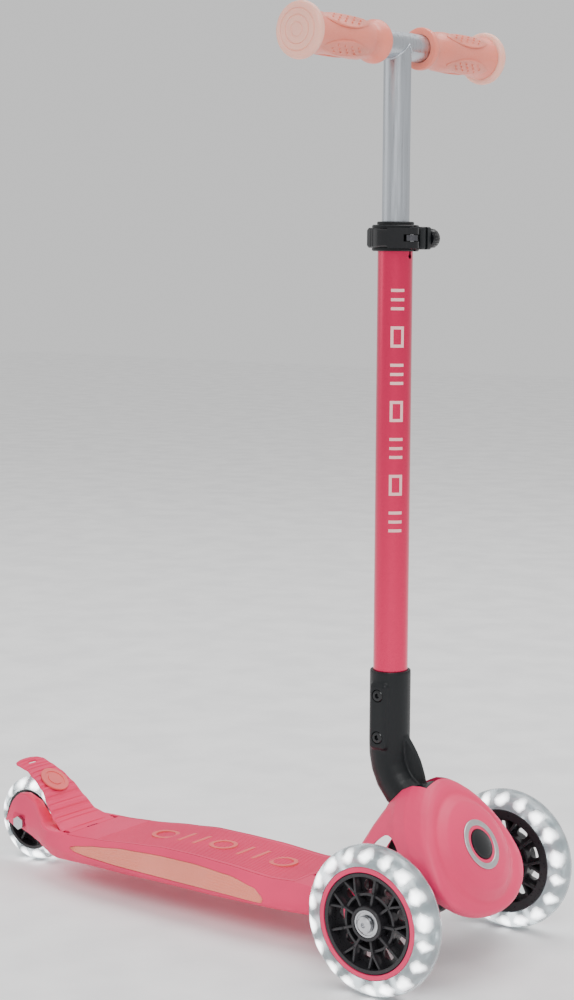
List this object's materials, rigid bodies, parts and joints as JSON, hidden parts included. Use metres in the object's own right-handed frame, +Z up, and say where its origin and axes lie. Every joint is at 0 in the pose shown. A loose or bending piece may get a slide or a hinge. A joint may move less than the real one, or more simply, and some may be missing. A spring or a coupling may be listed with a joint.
{
  "type": "kick scooter",
  "caption": "Child's three-wheeled kick scooter with lean steering, folding stem, sliding T-bar, fender brake and light-up clear wheels.",
  "frame": {"origin": "on the ground, under the middle of the whole scooter's box", "axes": "+X forward, +Y to the rider's left, +Z up"},
  "size_m": [0.5616, 0.2696, 0.7638],
  "materials": {
    "pink_nylon": "moulded, fine satin texture",
    "pink_metallic": "metallic lacquer",
    "peach_rubber": "soft-touch moulding",
    "pale_peach": "slightly translucent soft moulding",
    "black_nylon": "glass-filled nylon, satin",
    "black_gloss": "polished black",
    "silver_alloy": "satin anodised",
    "steel": "zinc plated",
    "clear_tread": "clear cast polyurethane, lit from inside"
  },
  "bodies": {
    "deck": {"deck": "pink_nylon", "deck_pad": "pink_nylon", "side_insert_left": "peach_rubber", "side_insert_right": "peach_rubber", "head_block": "black_nylon", "front_cover": "pink_nylon", "button_ring": "silver_alloy", "fold_pin": "steel", "kingpin": "steel", "kingpin_nut": "steel", "rear_axle_bolt": "steel", "rear_axle_nut": "steel", "brake_hinge_pin": "steel", "button_spring": "steel"},
    "stem": {"elbow": "black_nylon", "outer_tube": "pink_metallic", "liner_bush": "black_nylon", "clamp_collar": "black_nylon", "clamp_bolt": "steel", "adjusting_nut": "black_gloss", "lever_pin": "steel", "elbow_screw_upper": "black_gloss", "elbow_screw_lower": "black_gloss"},
    "clamp_lever": {"clamp_lever": "black_gloss"},
    "handlebar": {"t_bar": "silver_alloy", "grip_left": "peach_rubber", "grip_right": "peach_rubber", "grip_cap_left": "pale_peach", "grip_cap_right": "pale_peach"},
    "fold_button": {"fold_button": "black_gloss"},
    "brake": {"brake_fender": "pink_nylon", "brake_badge": "peach_rubber", "brake_spring": "steel"},
    "truck": {"axle_beam": "black_nylon", "front_axle_bolt_left": "steel", "front_axle_bolt_right": "steel"},
    "front_wheel_left": {"front_left_bearing_inner": "steel", "front_left_bearing_outer": "steel", "front_left_colour_ring": "pink_nylon", "front_left_core": "black_nylon", "front_left_magnet": "steel", "front_left_spacer": "silver_alloy", "front_left_tyre": "clear_tread"},
    "front_wheel_right": {"front_right_bearing_inner": "steel", "front_right_bearing_outer": "steel", "front_right_colour_ring": "pink_nylon", "front_right_core": "black_nylon", "front_right_magnet": "steel", "front_right_spacer": "silver_alloy", "front_right_tyre": "clear_tread"},
    "rear_wheel": {"rear_bearing_inner": "steel", "rear_bearing_outer": "steel", "rear_core": "black_nylon", "rear_magnet": "steel", "rear_spacer": "silver_alloy", "rear_tyre": "clear_tread"}
  },
  "joints": [
    {"name": "stem_fold", "type": "hinge", "parent": "deck", "child": "stem", "pos_m": [0.20225, 0, 0.124], "axis": [0, -1, 0], "range_deg": [0, 82]},
    {"name": "bar_height", "type": "slide", "parent": "stem", "child": "handlebar", "axis": [0, 0, -1], "range_m": [0, 0.1]},
    {"name": "clamp_lever_swing", "type": "hinge", "parent": "stem", "child": "clamp_lever", "pos_m": [0.18885, -0.0141, 0.5895], "axis": [0, 0, 1], "range_deg": [0, 140]},
    {"name": "fold_button_press", "type": "slide", "parent": "deck", "child": "fold_button", "axis": [-0.8634, 0, -0.5045], "range_m": [0, 0.004], "stiffness_N_per_m": 800, "springref_m": -0.002},
    {"name": "lean_steer", "type": "hinge", "parent": "deck", "child": "truck", "pos_m": [0.22025, 0, 0.0605], "axis": [0.7071, 0, 0.7071], "range_deg": [-12, 12], "stiffness_Nm_per_rad": 12},
    {"name": "front_left_roll", "type": "hinge", "parent": "truck", "child": "front_wheel_left", "pos_m": [0.22025, 0.102, 0.0605], "axis": [0, 1, 0], "continuous": true},
    {"name": "front_right_roll", "type": "hinge", "parent": "truck", "child": "front_wheel_right", "pos_m": [0.22025, -0.102, 0.0605], "axis": [0, 1, 0], "continuous": true},
    {"name": "rear_roll", "type": "hinge", "parent": "deck", "child": "rear_wheel", "pos_m": [-0.24075, 0, 0.04], "axis": [0, 1, 0], "continuous": true},
    {"name": "brake_press", "type": "hinge", "parent": "deck", "child": "brake", "pos_m": [-0.17275, 0, 0.0415], "axis": [0, -1, 0], "range_deg": [0, 3], "stiffness_Nm_per_rad": 6, "springref_deg": -2.86}
  ]
}
